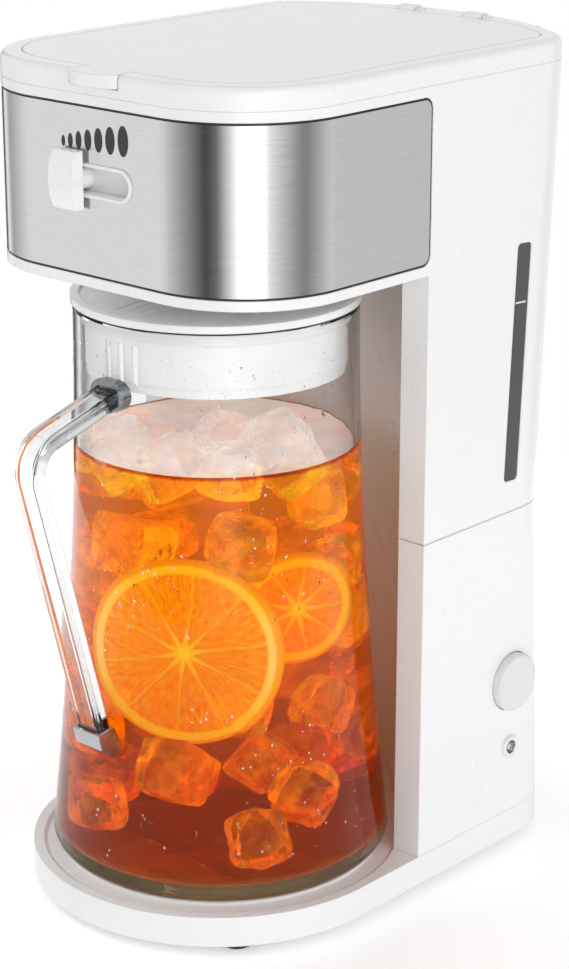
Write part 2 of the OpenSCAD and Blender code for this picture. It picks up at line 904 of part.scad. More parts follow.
module bypass_gate() {
  color("#d0d3d6") placed() translate([knob_x, 0, slot_z])
    from_front(gate_y - gate_t, gate_y) square([14, slot_h], center = true);
}

// Two grooved rails that hold the shoe behind the slot
module gate_rails() {
  rail_len = slot_len + 2 * knob_travel + 5;
  groove = shoe_h / 2 + loose;
  lip = shoe_h / 2 - 1.2;
  color("#c8cacc") placed() intersection() {
    translate([0, 0, slot_z]) for (s = [-1, 1]) difference() {
      from_front(rail_y - 1.6, head_front - wall)
        translate([0, s * (lip + groove + 2.6) / 2]) square([rail_len, groove + 2.6 - lip], center = true);
      from_front(rail_y, tray_y) square([rail_len + 2, 2 * groove], center = true);
    }
    head_slice(wall + skin_gap, 0, head_z, seat_z);
  }
}

// Brew basket in the head, over the pitcher

module basket_side(d) {
  cylinder(r1 = basket_r - 7.5 - d, r2 = basket_r - 2.5 - d, h = basket_top - basket_floor);
}

module brew_basket() {
  color("#e9e9e6") placed() difference() {
    union() {
      translate([0, 0, basket_floor]) basket_side(0);
      rod_z(basket_r, basket_top - 2, basket_top);
      rod_z(31, basket_z, basket_floor + eps);
      rod_z(nozzle_r, head_z - head_gap + 4.2, basket_floor + eps);
    }
    difference() {
      translate([0, 0, basket_floor + 2]) basket_side(2);
      ring_z(basket_r, basket_r - 13, basket_floor, screen_z);
    }
    translate([0, 0, basket_top - eps]) cylinder(r = basket_r - 4.5, h = 3);
    difference() {
      rod_z(28.5, basket_z - eps, basket_floor);
      rod_z(nozzle_r, basket_z - 2 * eps, basket_floor + eps);
    }
    rod_z(5, head_z - head_gap, basket_floor + 3);
    translate([0, 0, slot_z]) rod_y(3.5, -basket_r, -basket_r + 15);
  }
}

module filter_screen() {
  r = basket_r - 10;
  color("#aeb2b6") placed() translate([0, 0, screen_z]) difference() {
    cylinder(r = r, h = 1.4);
    for (k = [1 : 4], i = [0 : 6 * k - 1]) rotate([0, 0, i * 60 / k]) translate([k * r / 5, 0, -eps])
      cylinder(r = 1.8, h = 4, $fn = 24);
  }
}

// Lid frame: one section carried round the plan of the head

module frame_section() {
  rebate = top_z - lid_t - 0.1;
  polygon([
    [0, seat_z], [0, top_z - frame_round], [-frame_round, top_z - frame_round],
    [-frame_round, top_z], [-frame_w, top_z], [-frame_w, rebate], [-frame_w - 3, rebate],
    [-frame_w - 3, rebate - 2.2], [-3, rebate - 2.2], [-3, seat_z]
  ]);
  intersection() {
    translate([-frame_round, top_z - frame_round]) circle(frame_round, $fn = 32);
    translate([-frame_round, top_z - frame_round]) square(frame_round);
  }
}

module sweep_side(y0, y1) {
  translate([half_w, y1, 0]) rotate([90, 0, 0]) linear_extrude(y1 - y0) children();
}

module sweep_corner(x, y, r, from, to) {
  translate([x, y, 0]) rotate([0, 0, from]) rotate_extrude(angle = to - from)
    translate([r, 0]) children();
}

module frame_ring() {
  translate([half_w - front_corner_r, -head_front, 0]) rotate([90, 0, -90])
    linear_extrude(2 * (half_w - front_corner_r)) frame_section();
  for (m = [0, 1]) mirror([m, 0, 0]) {
    sweep_corner(half_w - front_corner_r, -corner_y, front_corner_r, -90, 0) frame_section();
    sweep_side(-corner_y, rear_corner_y) frame_section();
    difference() {
      sweep_corner(rear_x, rear_corner_y, rear_corner_r, 0, 90) frame_section();
      translate([0, 0, seat_z - eps]) linear_extrude(frame_h + 2 * eps) bow_sector();
    }
  }
  intersection() {
    sweep_corner(0, bow_y, bow_r, 45, 135) frame_section();
    translate([0, 0, seat_z - eps]) linear_extrude(frame_h + 2 * eps) bow_sector();
  }
}

// Plan of the finger tab, grown by g: a rounded nose that widens towards the front
module tab_plan(g) {
  nose_r = (pow(tab_w / 2, 2) + pow(tab_out, 2)) / (2 * tab_out);
  intersection() {
    translate([0, -(head_front + tab_out - nose_r)]) circle(nose_r + g);
    translate([-tab_w, -2 * head_front]) square([2 * tab_w, head_front]);
  }
  polygon([
    [-tab_w / 2 - g, -head_front], [tab_w / 2 + g, -head_front],
    [tab_w / 2 - 3 + g, -head_front + frame_w + 3], [-tab_w / 2 + 3 - g, -head_front + frame_w + 3]
  ]);
}

module lid_frame() {
  tab_z = top_z - tab_h;
  color("white") placed() difference() {
    union() {
      frame_ring();
      translate([0, 0, top_z - 5.8]) linear_extrude(5.8) intersection() {
        head_plan(2);
        translate([-half_w, lid_rear + 0.5]) square([2 * half_w, rear_y]);
      }
      for (s = [-1, 1]) translate([s * hinge_x, hinge_y, hinge_z])
        rod_x(3.2, -barrel_w / 2 - 2.5, barrel_w / 2 + 2.5);
    }
    translate([0, 0, tab_z - 0.4]) linear_extrude(tab_h + eps) tab_plan(0.5);
    for (s = [-1, 1]) translate([s * hinge_x, hinge_y, hinge_z]) {
      translate([-barrel_w / 2 - 0.5, -8, -8]) cube([barrel_w + 1, 8 + barrel_r + 1.2, 16]);
      rod_x(pin_r + 0.01, -barrel_w / 2 - 2, barrel_w / 2 + 2);
    }
  }
}

module lid_panel() {
  inset = frame_w + lid_gap;
  color("white") placed() difference() {
    union() {
      intersection() {
        union() {
          translate([0, 0, lid_z]) linear_extrude(lid_t) head_plan(inset);
          difference() {
            translate([0, 0, seat_z + 0.5]) linear_extrude(lid_z - seat_z) head_plan(inset + 4);
            translate([0, 0, seat_z]) linear_extrude(lid_z - seat_z) head_plan(inset + 6);
          }
        }
        translate([-half_w, -head_front, seat_z]) cube([2 * half_w, head_front + lid_rear, frame_h]);
      }
      translate([0, 0, top_z - tab_h]) linear_extrude(tab_h) tab_plan(0);
      for (s = [-1, 1]) translate([s * hinge_x, hinge_y, hinge_z]) {
        rod_x(barrel_r, -barrel_w / 2, barrel_w / 2);
        translate([-barrel_w / 2, -8, lid_z - hinge_z]) cube([barrel_w, 8, lid_t]);
      }
    }
    for (s = [-1, 1]) translate([s * hinge_x, hinge_y, hinge_z])
      rod_x(pin_r + run_gap, -barrel_w / 2 - eps, barrel_w / 2 + eps);
  }
}

module hinge_pins() {
  color("#a5a8ac") placed() for (s = [-1, 1]) translate([s * hinge_x, hinge_y, hinge_z])
    rod_x(pin_r, -barrel_w / 2 - 1.9, barrel_w / 2 + 1.9);
}

// Closed channel under the lid, from the riser's mouth to the shower
module lid_duct() {
  y0 = -10;
  y1 = riser_y + 10;
  color("#ececea") placed() difference() {
    translate([-duct_w / 2, y0, duct_z]) cube([duct_w, y1 - y0, lid_z - duct_z]);
    translate([-duct_w / 2 + 2, y0 + 2, duct_z + 2]) cube([duct_w - 4, y1 - y0 - 4, lid_z - duct_z - 3.6]);
    translate([0, riser_y, 0]) rod_z(tube_r + 1.5, duct_z - eps, duct_z + 3);
    rod_z(shower_bore_r, duct_z - eps, duct_z + 3);
  }
}

shower_r = 20;
shower_neck_r = 7;
shower_bore_r = 4;
shower_wall = 2.5;
shower_z = basket_top + 1.5;
shower_top = shower_z + 3.5;

module shower_head() {
  color("#dfe1e2") placed() difference() {
    union() {
      rod_z(shower_neck_r, shower_top - eps, duct_z);
      rod_z(shower_r, shower_z, shower_top);
    }
    rod_z(shower_bore_r, shower_top - eps, duct_z + eps);
    rod_z(shower_r - shower_wall, shower_z + 1.4, shower_top - 0.9);
    for (k = [1 : 2], i = [0 : 6 * k - 1]) rotate([0, 0, i * 60 / k]) translate([k * 6.5, 0, shower_z - eps])
      cylinder(r = 1.2, h = 3, $fn = 24);
  }
}

// Glass pitcher

function side_r(t) = rim_r + (foot_r - rim_r) * pow(t, flare_power);
function side_point(t, d) = [side_r(t) - d, rim_z - t * pitcher_h];
bands = 20;
side_end = 1 - foot_round / pitcher_h;
foot_edge = side_r(side_end);
inner_round = foot_round + 1;
inner_end = 1 - (glass_floor + inner_round) / pitcher_h;
inner_edge = side_r(inner_end) - glass_t;

function outer_side(d) = concat(
  [for (i = [0 : bands]) side_point(side_end * i / bands, d)],
  [for (a = [15 : 15 : 90])
    [foot_edge - d - foot_round + foot_round * cos(a), deck_z + foot_round - (foot_round - d) * sin(a)]]
);
function inner_side() = concat(
  [for (a = [90 : -15 : 15])
    [inner_edge - inner_round + inner_round * cos(a),
      deck_z + glass_floor + inner_round - inner_round * sin(a)]],
  [for (i = [bands : -1 : 1]) side_point(inner_end * i / bands, glass_t)]
);
function rim_arc() = [for (a = [180 : -30 : 0])
  [rim_r - glass_t / 2 + glass_t / 2 * cos(a), rim_z - glass_t / 2 + glass_t / 2 * sin(a)]];

module pitcher_glass() {
  outer = outer_side(0);
  color("#dfe9ee", 0.35) placed() rotate_extrude($fn = 180) polygon(concat(
    [for (i = [1 : len(outer) - 1]) outer[i]],
    [[0, deck_z], [0, deck_z + glass_floor]],
    inner_side(),
    rim_arc()
  ));
}

// Outer shape of the glass as a solid, grown by g
module glass_outside(g) {
  rotate_extrude($fn = 180) polygon(concat([[0, rim_z]], outer_side(-g), [[0, deck_z]]));
}

// Handle: drawn in a plane where x is the distance from the pitcher axis and y is the height

bend_x = handle_reach - bend_r - bar_t / 2;
bend_z = rim_z - bend_drop;
arm_angle = 90 - arm_drop;
arm_len = (bend_x + bend_r * cos(arm_angle) - rim_r - 2.2) / cos(arm_drop);
arm_z = bend_z + bend_r * sin(arm_angle) + arm_len * sin(arm_drop);

module handle_plane() {
  placed() rotate([90, 0, -90]) children();
}

// Section of the bar, drawn in by d
module bar_section(d) {
  square([bar_t - 2 * bar_edge, bar_w - 2 * d], center = true);
  square([bar_t - 2 * d, bar_w - 2 * bar_edge], center = true);
  for (x = [-1, 1], y = [-1, 1])
    translate([x * (bar_t / 2 - bar_edge), y * (bar_w / 2 - bar_edge)]) circle(bar_edge - d, $fn = 32);
}

module straight(from, length, angle) {
  translate([bend_x + bend_r * cos(from), bend_z + bend_r * sin(from), 0]) rotate([0, 0, angle])
    rotate([90, 0, 90]) linear_extrude(length) bar_section(0);
}

module bar_shape() {
  straight(arm_angle, arm_len, arm_angle + 90);
  translate([bend_x, bend_z, 0]) rotate([0, 0, -bar_lean - 0.5])
    rotate_extrude(angle = arm_angle + bar_lean + 1) translate([bend_r, 0]) bar_section(step);
  straight(-bar_lean, bar_len, -90 - bar_lean);
}

module pitcher_handle() {
  color("#dfe9ee", 0.4) handle_plane() bar_shape();
}

module handle_escutcheon() {
  color("#4a4c50") difference() {
    placed() translate([0, 0, arm_z]) from_front(rim_r - 4, rim_r + esc_out + 0.6) stadium(esc_w, esc_h);
    placed() glass_outside(skin_gap);
    handle_plane() bar_shape();
  }
}

// End of the long bar on its centre line
bar_end = [
  bend_x + bend_r * cos(bar_lean) - bar_len * sin(bar_lean),
  bend_z - bend_r * sin(bar_lean) - bar_len * cos(bar_lean)
];

module handle_clip() {
  x = bar_end[0];
  z = bar_end[1];
  h = bar_t / 2;
  color("#8d9094") difference() {
    handle_plane() translate([0, 0, -bar_w / 2 - 1]) linear_extrude(bar_w + 2) polygon([
      [x + h + 2.2, z + 3.4], [x + h + 0.4, z - 4], [x - 6, z - 12], [x - 16, z - 12],
      [x - 16, z - 3], [x - 7, z - 3], [x - h + 0.4, z + 4.6]
    ]);
    placed() glass_outside(skin_gap);
    handle_plane() bar_shape();
  }
}

// Pitcher lid, its strainer skirt and its gasket

plid_r = rim_r + 0.9;
plug_r = rim_r - glass_t - 0.5;
skirt_r = plug_r - 1.6;

module pitcher_lid() {
  color("white") placed() difference() {
    union() {
      rod_z(plid_r, plid_z, plid_z + plid_t);
      ring_z(plug_r, skirt_r + 0.1, rim_z - 5, plid_z + eps);
    }
    rod_z(plid_r - plid_edge, plid_z + plid_t - plid_dish, plid_z + plid_t + eps);
    translate([-5.3, -0.63 * rim_r, plid_z - eps]) rotate([0, 0, 7.5]) for (i = [-1 : 1])
      translate([6 * i - 0.8, -0.165 * rim_r, 0]) cube([1.6, 0.33 * rim_r, plid_t + 2 * eps]);
    rod_z(nozzle_r + 1, plid_z - eps, plid_z + plid_t);
  }
}

module strainer_skirt() {
  low = rim_z - skirt_depth;
  color("#eef0f0", 0.8) placed() difference() {
    union() {
      ring_z(skirt_r, skirt_r - skirt_t, low + 4, plid_z);
      ring_z(skirt_r - 0.6, skirt_r - skirt_t, low, low + 4 + eps);
    }
    for (side = [0, 180], i = [-1 : 1]) rotate([0, 0, side + 7.8 * i]) {
      translate([-strain_w / 2, -skirt_r - eps, low + 3 + strain_w / 2])
        cube([strain_w, skirt_t + 3, strain_h - strain_w / 2]);
      translate([0, 0, low + 3 + strain_w / 2]) rod_y(strain_w / 2, -skirt_r - eps, -skirt_r + skirt_t + 2);
    }
  }
}

module lid_gasket() {
  color("#1b1b1d") placed() ring_z(rim_r + 0.5, plug_r + 0.05, rim_z + loose, plid_z);
}

base_plate();
bottom_cover();
rubber_feet();
cover_screws();
lower_housing();
housing_screws();
heater_body();
heater_bracket();
thermostat();
thermal_fuse();
inlet_hose();
riser_tube();
brew_button();
button_sleeve();
brew_switch();
indicator_bezel();
indicator_lens();
indicator_board();
cord_gland();
upper_housing();
tank_valve();
tank_strainer();
riser_grommet();
level_window();
level_mark();
steel_band();
band_gasket();
strength_marks();
selector_bezel();
strength_knob();
selector_shoe();
bypass_gate();
gate_rails();
brew_basket();
filter_screen();
lid_frame();
lid_panel();
hinge_pins();
lid_duct();
shower_head();
pitcher_glass();
pitcher_handle();
handle_escutcheon();
handle_clip();
pitcher_lid();
strainer_skirt();
lid_gasket();
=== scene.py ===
import math
import random

import bmesh
import bpy
from mathutils import Matrix, Vector, noise


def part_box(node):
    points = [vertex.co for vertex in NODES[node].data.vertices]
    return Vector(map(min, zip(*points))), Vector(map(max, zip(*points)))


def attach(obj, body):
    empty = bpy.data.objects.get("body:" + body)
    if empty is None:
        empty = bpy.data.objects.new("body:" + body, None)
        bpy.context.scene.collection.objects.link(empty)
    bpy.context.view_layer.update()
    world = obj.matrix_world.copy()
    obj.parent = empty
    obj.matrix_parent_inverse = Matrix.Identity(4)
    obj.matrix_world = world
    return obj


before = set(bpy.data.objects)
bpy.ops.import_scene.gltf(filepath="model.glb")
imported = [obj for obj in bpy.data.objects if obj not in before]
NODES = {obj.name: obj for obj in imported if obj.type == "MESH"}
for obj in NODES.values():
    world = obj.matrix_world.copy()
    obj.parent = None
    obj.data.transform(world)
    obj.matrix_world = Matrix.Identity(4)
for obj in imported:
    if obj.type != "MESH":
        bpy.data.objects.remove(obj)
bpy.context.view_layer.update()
MM = 0.001

# Lengths below are millimetres from the pitcher's axis, as in the CAD source; at() gives metres in the frame
MIDDLE_X, MIDDLE_Y = 2.05, 23.6035
DECK, PITCHER_H, TEA_Z = 18.0, 249.0, 205.4
RIM = DECK + PITCHER_H
RIM_R, FOOT_R, FLARE = 61.2, 76.6, 1.9
GLASS_T, GLASS_FLOOR = 3.0, 6.0


def at(x, y, z):
    """A point about the pitcher's axis, in the frame's metres."""
    return Vector(((x - MIDDLE_X) * MM, (y - MIDDLE_Y) * MM, z * MM))


def glass_r(z):
    """Outside radius of the glass at a height."""
    t = min(max((RIM - z) / PITCHER_H, 0.0), 1.0)
    return RIM_R + (FOOT_R - RIM_R) * t ** FLARE


def inner_r(z):
    """Inside radius of the glass at a height."""
    return glass_r(z) - GLASS_T


# ---------------------------------------------------------------- camera

# Fitted to the photo's straight and round edges
CAMERA_AZ, CAMERA_EL = math.radians(42.29), math.radians(18.64)
CAMERA_PLACE = (725.29, -754.32, 536.42)
LENS_MM, SENSOR_MM, CLIP_END = 94.165, 36.0, 50.0
# Glass, tea, ice and drops lie one behind another, so light needs many steps to get through
GLASS_STEPS, CLEAR_STEPS = 18, 24

back = Vector((math.sin(CAMERA_AZ) * math.cos(CAMERA_EL), -math.cos(CAMERA_AZ) * math.cos(CAMERA_EL),
               math.sin(CAMERA_EL)))
right = Vector((math.cos(CAMERA_AZ), math.sin(CAMERA_AZ), 0.0))
up = back.cross(right)
cam_data = bpy.data.cameras.new("camera")
cam_data.lens = LENS_MM
cam_data.sensor_width = SENSOR_MM
cam_data.clip_end = CLIP_END
cam = bpy.data.objects.new("camera", cam_data)
cam.matrix_world = Matrix.Translation(at(*CAMERA_PLACE)) @ Matrix((right, up, back)).transposed().to_4x4()
bpy.context.scene.collection.objects.link(cam)
bpy.context.scene.camera = cam
bpy.context.scene.view_settings.view_transform = "Standard"
cycles = bpy.context.scene.cycles
cycles.max_bounces = GLASS_STEPS
cycles.transmission_bounces = GLASS_STEPS
cycles.transparent_max_bounces = CLEAR_STEPS


# ---------------------------------------------------------------- node helpers

class Nodes:
    """Short calls for the nodes of one tree, self.t."""

    def new(self, kind, **settings):
        n = self.t.nodes.new("ShaderNode" + kind)
        for k, v in settings.items():
            setattr(n, k, v)
        return n

    def link(self, a, b):
        self.t.links.new(a, b)

    def xyz(self, output="Object"):
        c = self.new("TexCoord")
        s = self.new("SeparateXYZ")
        self.link(c.outputs[output], s.inputs["Vector"])
        return s.outputs["X"], s.outputs["Y"], s.outputs["Z"]

    def ramp(self, fac, stops):
        r = self.new("ValToRGB")
        e = r.color_ramp.elements
        while len(e) < len(stops):
            e.new(0.5)
        for el, (p, c) in zip(e, stops):
            el.position = p
            el.color = (*c, 1.0)
        self.link(fac, r.inputs["Fac"])
        return r.outputs["Color"]

    def spread(self, fac, low, high, a=0.3, b=0.7):
        """Takes a value from a..b to low..high; noise mostly lies in 0.3 to 0.7."""
        n = self.new("MapRange")
        n.inputs["From Min"].default_value = a
        n.inputs["From Max"].default_value = b
        n.inputs["To Min"].default_value = low
        n.inputs["To Max"].default_value = high
        self.link(fac, n.inputs["Value"])
        return n.outputs["Result"]

    def math(self, op, a, b=None):
        n = self.new("Math", operation=op)
        for i, v in enumerate((a, b)):
            if v is None:
                continue
            if isinstance(v, (int, float)):
                n.inputs[i].default_value = v
            else:
                self.link(v, n.inputs[i])
        return n.outputs[0]

    def lay(self, base, colour, fac):
        """One even colour laid over another by a factor."""
        n = self.new("Mix", data_type="RGBA")
        self.link(fac, n.inputs["Factor"])
        self.link(base, n.inputs["A"])
        n.inputs["B"].default_value = (*colour, 1.0)
        return n.outputs["Result"]


class Mat(Nodes):
    """A material with one Principled shader, self.b."""

    def __init__(self, name):
        self.m = bpy.data.materials.new(name)
        self.m.use_nodes = True
        self.t = self.m.node_tree
        self.b = self.t.nodes["Principled BSDF"]
        self.out = self.t.nodes["Material Output"]

    def put(self, **values):
        """Sets even values on the shader's own sockets."""
        for k, v in values.items():
            s = self.b.inputs[k.replace("_", " ")]
            s.default_value = v if not isinstance(v, tuple) or len(v) != 3 else (*v, 1.0)

    def wire(self, **outputs):
        """Links node outputs to the shader's sockets."""
        for k, v in outputs.items():
            self.link(v, self.b.inputs[k.replace("_", " ")])

    def coords(self, scale=(1, 1, 1)):
        c = self.new("TexCoord")
        m = self.new("Mapping")
        m.inputs["Scale"].default_value = scale
        self.link(c.outputs["Object"], m.inputs["Vector"])
        return m.outputs["Vector"]

    def noise(self, scale, detail=2.0, rough=0.5, stretch=(1, 1, 1), vector=None):
        n = self.new("TexNoise")
        n.inputs["Scale"].default_value = scale
        n.inputs["Detail"].default_value = detail
        n.inputs["Roughness"].default_value = rough
        self.link(vector or self.coords(stretch), n.inputs["Vector"])
        return n.outputs["Fac"]

    def length(self, x, y):
        return self.math("SQRT", self.math("ADD", self.math("MULTIPLY", x, x), self.math("MULTIPLY", y, y)))

    def about_axis(self):
        """Distance from the pitcher's axis, and height, of a point."""
        x, y, z = self.xyz()
        return self.length(self.math("ADD", x, MIDDLE_X * MM), self.math("ADD", y, MIDDLE_Y * MM)), z

    def dark_rim(self, base, stops):
        """Clear walls look darker where they are seen edge on."""
        w = self.new("LayerWeight")
        w.inputs["Blend"].default_value = 0.5
        n = self.new("Mix", data_type="RGBA", blend_type="MULTIPLY")
        n.inputs["Factor"].default_value = 1.0
        self.link(base, n.inputs["A"])
        self.link(self.ramp(w.outputs["Facing"], stops), n.inputs["B"])
        return n.outputs["Result"]

    def bump(self, height, strength, distance, round_edges=0.0):
        n = self.new("Bump")
        n.inputs["Strength"].default_value = strength
        n.inputs["Distance"].default_value = distance
        self.link(height, n.inputs["Height"])
        if round_edges:
            e = self.new("Bevel", samples=4)
            e.inputs["Radius"].default_value = round_edges
            self.link(e.outputs["Normal"], n.inputs["Normal"])
        self.link(n.outputs["Normal"], self.b.inputs["Normal"])

    def let_light_through(self, tint=(1, 1, 1)):
        """Lamp light, and light scattered off matt surfaces, passes straight through this surface, tinted."""
        path = self.new("LightPath")
        clear = self.new("BsdfTransparent")
        clear.inputs["Color"].default_value = (*tint, 1.0)
        seen = self.b.outputs["BSDF"]
        for ray in ("Is Diffuse Ray", "Is Shadow Ray"):
            mix = self.new("MixShader")
            self.link(path.outputs[ray], mix.inputs["Fac"])
            self.link(seen, mix.inputs[1])
            self.link(clear.outputs["BSDF"], mix.inputs[2])
            seen = mix.outputs["Shader"]
        self.link(seen, self.out.inputs["Surface"])


# ---------------------------------------------------------------- materials of the CAD nodes

# Noise scales, per metre: slow drift of the colour, marks in the gloss, and the mould's fine grain
DRIFT, MARKS, GRAIN = 9, 60, 1400
# Scale of the faint waves in clear walls, and of their smears
WAVES, SMEARS = 40, 25


def plastic(name, a, b, rough=(0.24, 0.32), grain=0.05, edge=0.0007, coat=0.15, shine=0.5):
    m = Mat(name)
    m.wire(Base_Color=m.ramp(m.noise(DRIFT, 1), [(0.3, a), (0.7, b)]), Roughness=m.spread(m.noise(MARKS, 2), *rough))
    m.put(IOR=1.49, Coat_Weight=coat, Coat_Roughness=0.12, Specular_IOR_Level=shine)
    m.bump(m.noise(GRAIN, 2), grain, 0.0002, edge)
    return m.m


def metal(name, a, b, rough, stretch=(1, 1, 1), scale=600, grain=0.1, edge=0.0004, turned=0.0):
    m = Mat(name)
    fine = m.noise(scale, 3, 0.6, stretch)
    m.wire(Base_Color=m.ramp(fine, [(0.25, a), (0.75, b)]), Roughness=m.spread(fine, *rough))
    m.put(Metallic=1.0)
    if turned:
        m.put(Anisotropic=turned, Anisotropic_Rotation=0.25)
        t = m.new("Tangent", direction_type="RADIAL", axis="Z")
        m.wire(Tangent=t.outputs["Tangent"])
    m.bump(fine, grain, 0.0001, edge)
    return m.m


def see_through(name, a, b, ior, rim=None, rough=(0.0, 0.02), waves=WAVES, grain=0.02):
    """Clear glass or plastic; rim darkens it where it is seen edge on."""
    m = Mat(name)
    soft = m.noise(waves, 2)
    col = m.ramp(soft, [(0.3, a), (0.7, b)])
    m.wire(Base_Color=m.dark_rim(col, rim) if rim else col, Roughness=m.spread(m.noise(SMEARS, 3), *rough))
    m.put(IOR=ior, Transmission_Weight=1.0)
    m.bump(soft, grain, 0.0004)
    m.let_light_through()
    return m


def pitcher_wall():
    """Clear glass whose inner face loses its reflection where the tea wets it."""
    m = see_through("pitcher_glass_clear", (0.975, 0.985, 0.985), (0.96, 0.972, 0.972), 1.40,
                    [(0.0, (1, 1, 1)), (0.3, (0.97, 0.97, 0.97)),
                     (0.62, (0.74, 0.74, 0.74)), (0.92, (0.30, 0.30, 0.30))])
    dry, wet = (0.35, 0.35, 0.35), (0.02, 0.02, 0.02)
    r, z = m.about_axis()
    t = m.spread(z, 1.0, 0.0, (RIM - PITCHER_H) * MM, RIM * MM)
    flare = m.math("MULTIPLY", m.math("POWER", t, FLARE), (FOOT_R - RIM_R) * MM)
    depth = m.math("SUBTRACT", m.math("ADD", flare, RIM_R * MM), r)
    inner = m.spread(depth, 0.0, 1.0, 0.4 * GLASS_T * MM, 0.6 * GLASS_T * MM)
    low = m.spread(z, 1.0, 0.0, (TEA_Z + 0.5) * MM, (TEA_Z + 1.5) * MM)
    m.wire(Specular_Tint=m.ramp(m.math("MULTIPLY", inner, low), [(0.0, dry), (1.0, wet)]))
    return m.m


def milky():
    """Milky plastic that passes some light; its inner face glows a little with what the wall scatters."""
    m = Mat("skirt_milky")
    low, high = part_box("strainer_skirt")
    outer_r = (high[0] - low[0]) / 2
    colour = m.ramp(m.noise(60, 2), [(0.3, (0.90, 0.905, 0.91)), (0.7, (0.95, 0.955, 0.96))])
    glow = m.spread(m.about_axis()[0], 0.35, 0.0, outer_r - 1.4 * MM, outer_r - 0.9 * MM)
    m.wire(Base_Color=colour, Roughness=m.spread(m.noise(80, 2), 0.25, 0.4), Emission_Strength=glow)
    m.put(IOR=1.49, Transmission_Weight=0.35, Emission_Color=(1.0, 1.0, 1.0))
    m.bump(m.noise(900, 2), 0.05, 0.0002, 0.0004)
    m.let_light_through((0.6, 0.6, 0.6))
    return m.m


white = plastic("white_gloss", (0.872, 0.872, 0.876), (0.88, 0.88, 0.88), rough=(0.27, 0.30), grain=0.03)
satin_white = plastic("white_satin", (0.870, 0.870, 0.874), (0.88, 0.88, 0.88),
                      rough=(0.40, 0.44), grain=0.03, coat=0.0, shine=0.2)
cover_grey = plastic("cover_pale_grey", (0.50, 0.50, 0.51), (0.54, 0.54, 0.55), rough=(0.40, 0.44), coat=0.0)
button_white = plastic("button_grey_white", (0.74, 0.74, 0.75), (0.78, 0.78, 0.785), edge=0.0009)
tray_white = plastic("tray_white", (0.80, 0.80, 0.81), (0.84, 0.84, 0.845), rough=(0.3, 0.4))
inner_white = plastic("inner_white", (0.80, 0.80, 0.79), (0.84, 0.84, 0.83), rough=(0.35, 0.45), coat=0.0)
grey = plastic("grey_moulding", (0.42, 0.43, 0.44), (0.48, 0.49, 0.50), rough=(0.35, 0.5), coat=0.0)
black = plastic("black_moulding", (0.018, 0.018, 0.020), (0.03, 0.03, 0.032), rough=(0.35, 0.5), coat=0.0)
rubber = plastic("rubber_black", (0.015, 0.015, 0.016), (0.03, 0.03, 0.03), rough=(0.6, 0.8), grain=0.15, coat=0.0)
silicone = plastic("silicone_milky", (0.72, 0.70, 0.66), (0.78, 0.76, 0.72), rough=(0.4, 0.55), coat=0.0)
ink = plastic("ink_dark", (0.02, 0.02, 0.022), (0.035, 0.035, 0.038), rough=(0.4, 0.5), coat=0.0, edge=0.0)
smoke = plastic("smoked_window", (0.030, 0.031, 0.034), (0.055, 0.056, 0.060), rough=(0.08, 0.16), coat=0.6)
ceramic = plastic("ceramic_cream", (0.62, 0.58, 0.48), (0.70, 0.66, 0.55), rough=(0.5, 0.65), coat=0.0)
board = plastic("board_green", (0.02, 0.14, 0.06), (0.04, 0.20, 0.09), rough=(0.3, 0.45), coat=0.2)
steel = metal("steel_brushed", (0.63, 0.63, 0.635), (0.72, 0.72, 0.725), (0.14, 0.20),
              stretch=(0.02, 0.02, 1), scale=5000, grain=0.06, edge=0.0, turned=0.6)
bright_steel = metal("steel_plain", (0.55, 0.56, 0.57), (0.68, 0.69, 0.70), (0.25, 0.4))
chrome = metal("chrome_bright", (0.80, 0.81, 0.83), (0.86, 0.87, 0.88), (0.05, 0.10), grain=0.03, edge=0.0006)
# The clip's chrome is a darker copy of the bright chrome: painted shade
shaded_clip_chrome = metal("chrome_clip_painted_shade", (0.42, 0.43, 0.45), (0.52, 0.53, 0.54), (0.05, 0.10), grain=0.03, edge=0.0006)
dark_chrome = metal("chrome_smoked", (0.20, 0.21, 0.22), (0.30, 0.31, 0.32), (0.07, 0.14), grain=0.03, edge=0.0006)
cast = metal("cast_aluminium", (0.50, 0.51, 0.52), (0.66, 0.67, 0.68), (0.4, 0.6), scale=250, grain=0.35)
lens = see_through("lamp_lens", (0.92, 0.95, 0.97), (0.9062, 0.93575, 0.95545), 1.5, rough=(0.05, 0.12)).m
glass = pitcher_wall()
acrylic = see_through("acrylic_clear", (0.96, 0.975, 0.98), (0.94, 0.955, 0.96), 1.49,
                      [(0.0, (1, 1, 1)), (0.45, (0.97, 0.97, 0.97)), (0.85, (0.25, 0.25, 0.26))],
                      waves=60, grain=0.015).m
skirt = milky()

USE = {
    satin_white: ["base_plate"],
    cover_grey: ["bottom_cover"],
    white: ["lower_housing", "upper_housing", "lid_frame", "lid_panel",
            "selector_bezel", "strength_knob", "pitcher_lid", "level_mark"],
    button_white: ["brew_button"],
    tray_white: ["selector_shoe", "bypass_gate"],
    inner_white: ["brew_basket", "lid_duct", "shower_head"],
    grey: ["button_sleeve", "tank_valve", "tank_strainer", "gate_rails"],
    black: ["brew_switch", "band_gasket"],
    rubber: ["rubber_feet", "cord_gland", "riser_grommet", "lid_gasket"],
    silicone: ["inlet_hose", "riser_tube"],
    ink: ["strength_marks"],
    smoke: ["level_window"],
    ceramic: ["thermostat", "thermal_fuse"],
    board: ["indicator_board"],
    steel: ["steel_band"],
    bright_steel: ["cover_screws", "housing_screws", "heater_bracket", "filter_screen", "hinge_pins"],
    chrome: ["indicator_bezel"],
    shaded_clip_chrome: ["handle_clip"],
    dark_chrome: ["handle_escutcheon"],
    cast: ["heater_body"],
    glass: ["pitcher_glass"],
    acrylic: ["pitcher_handle"],
    lens: ["indicator_lens"],
    skirt: ["strainer_skirt"],
}
for material, names in USE.items():
    for n in names:
        data = NODES[n].data
        data.materials.clear()
        data.materials.append(material)


# ---------------------------------------------------------------- mesh helpers

